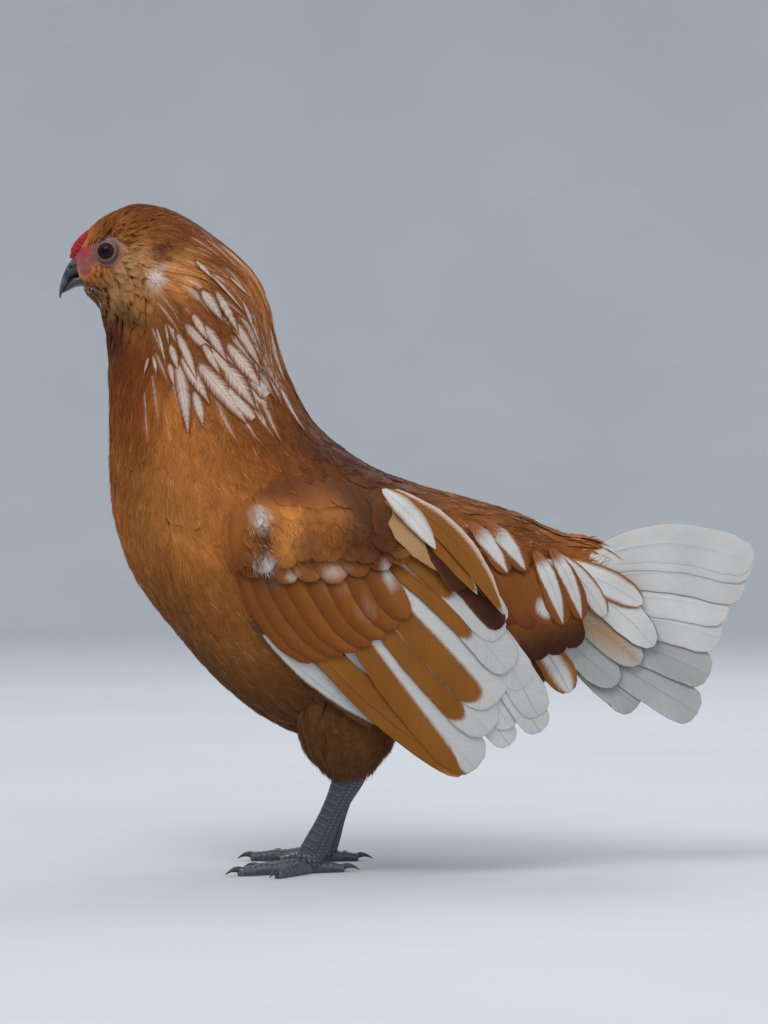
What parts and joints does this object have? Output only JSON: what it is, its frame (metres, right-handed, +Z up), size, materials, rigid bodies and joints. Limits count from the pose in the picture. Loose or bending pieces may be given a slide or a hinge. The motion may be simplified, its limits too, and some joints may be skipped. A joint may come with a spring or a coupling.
{
  "type": "antwerp belgian bantam hen",
  "caption": "Still, life-size standing bantam hen with bearded face, full hackle, low-carried wings, fanned upright tail and slate legs.",
  "frame": {"origin": "on the floor, under the middle of the bird's box", "axes": "-X towards the bill, -Y to the bird's left, +Z up"},
  "size_m": [0.2764, 0.1072, 0.2648],
  "materials": {
    "plumage": "soft gold-orange and chestnut feathers",
    "hackle": "pointed feathers, silver centres and brown edges",
    "wing": "buff vanes with white inner webs",
    "tail": "pale grey-white vanes with dark shafts",
    "scales": "slate-coloured horny scutes",
    "claw": "dark horn",
    "bill": "slate horn with a paler tip",
    "comb": "crimson skin with fine points",
    "eye": "wet dark brown"
  },
  "bodies": {
    "root": {"head": "plumage", "neck": "hackle", "torso": "plumage", "tail": "tail", "wing_left": "wing", "thigh_left": "plumage", "shank_left": "scales", "foot_left": "scales", "eye_left": "eye", "toe_left_inner": "scales", "claw_left_inner": "claw", "toe_left_middle": "scales", "claw_left_middle": "claw", "toe_left_outer": "scales", "claw_left_outer": "claw", "toe_left_hind": "scales", "claw_left_hind": "claw", "wing_right": "wing", "thigh_right": "plumage", "shank_right": "scales", "foot_right": "scales", "eye_right": "eye", "toe_right_inner": "scales", "claw_right_inner": "claw", "toe_right_middle": "scales", "claw_right_middle": "claw", "toe_right_outer": "scales", "claw_right_outer": "claw", "toe_right_hind": "scales", "claw_right_hind": "claw", "bill_upper": "bill", "bill_lower": "bill", "comb": "comb"}
  },
  "joints": []
}
